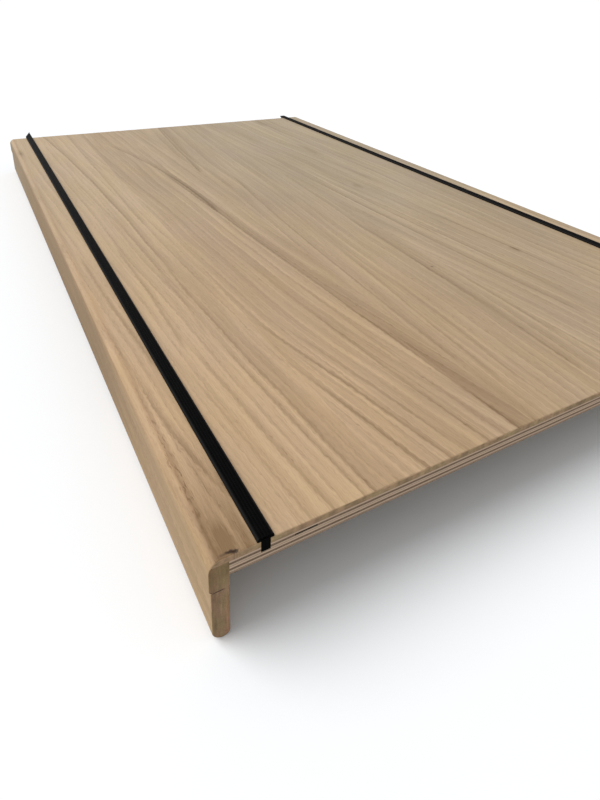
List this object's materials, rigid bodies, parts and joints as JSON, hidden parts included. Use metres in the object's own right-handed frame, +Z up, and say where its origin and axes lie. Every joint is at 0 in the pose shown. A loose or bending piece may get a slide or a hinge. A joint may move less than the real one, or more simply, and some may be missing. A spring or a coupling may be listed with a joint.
{
  "type": "stair tread",
  "caption": "Oak-faced plywood stair tread with a hooked oak nosing along both long edges and black rubber grip strips let into its top, laid over an old step as a new surface.",
  "frame": {"origin": "on the floor under the middle of the part's box, with the strips' overhanging tails counted in", "axes": "+X along the tread towards the end where the strips are cut flush, +Y from the front nosing to the back one, +Z up"},
  "size_m": [1.04, 0.61, 0.0645],
  "materials": {
    "oak_face": "matt oiled oak, plain sliced, grain along the tread",
    "oak_nosing": "matt oiled solid oak, grain along the tread",
    "birch_plywood": "sawn birch plywood, plies showing on the ends",
    "black_rubber": "matt black extruded rubber with lengthwise flutes"
  },
  "bodies": {
    "root": {"plywood_panel": "birch_plywood", "oak_field": "oak_face", "front_oak_lip": "oak_face", "back_oak_lip": "oak_face", "front_nosing_rail": "oak_nosing", "front_nosing_apron": "oak_nosing", "back_nosing_rail": "oak_nosing", "back_nosing_apron": "oak_nosing", "front_grip_strip": "black_rubber", "back_grip_strip": "black_rubber"}
  },
  "joints": []
}
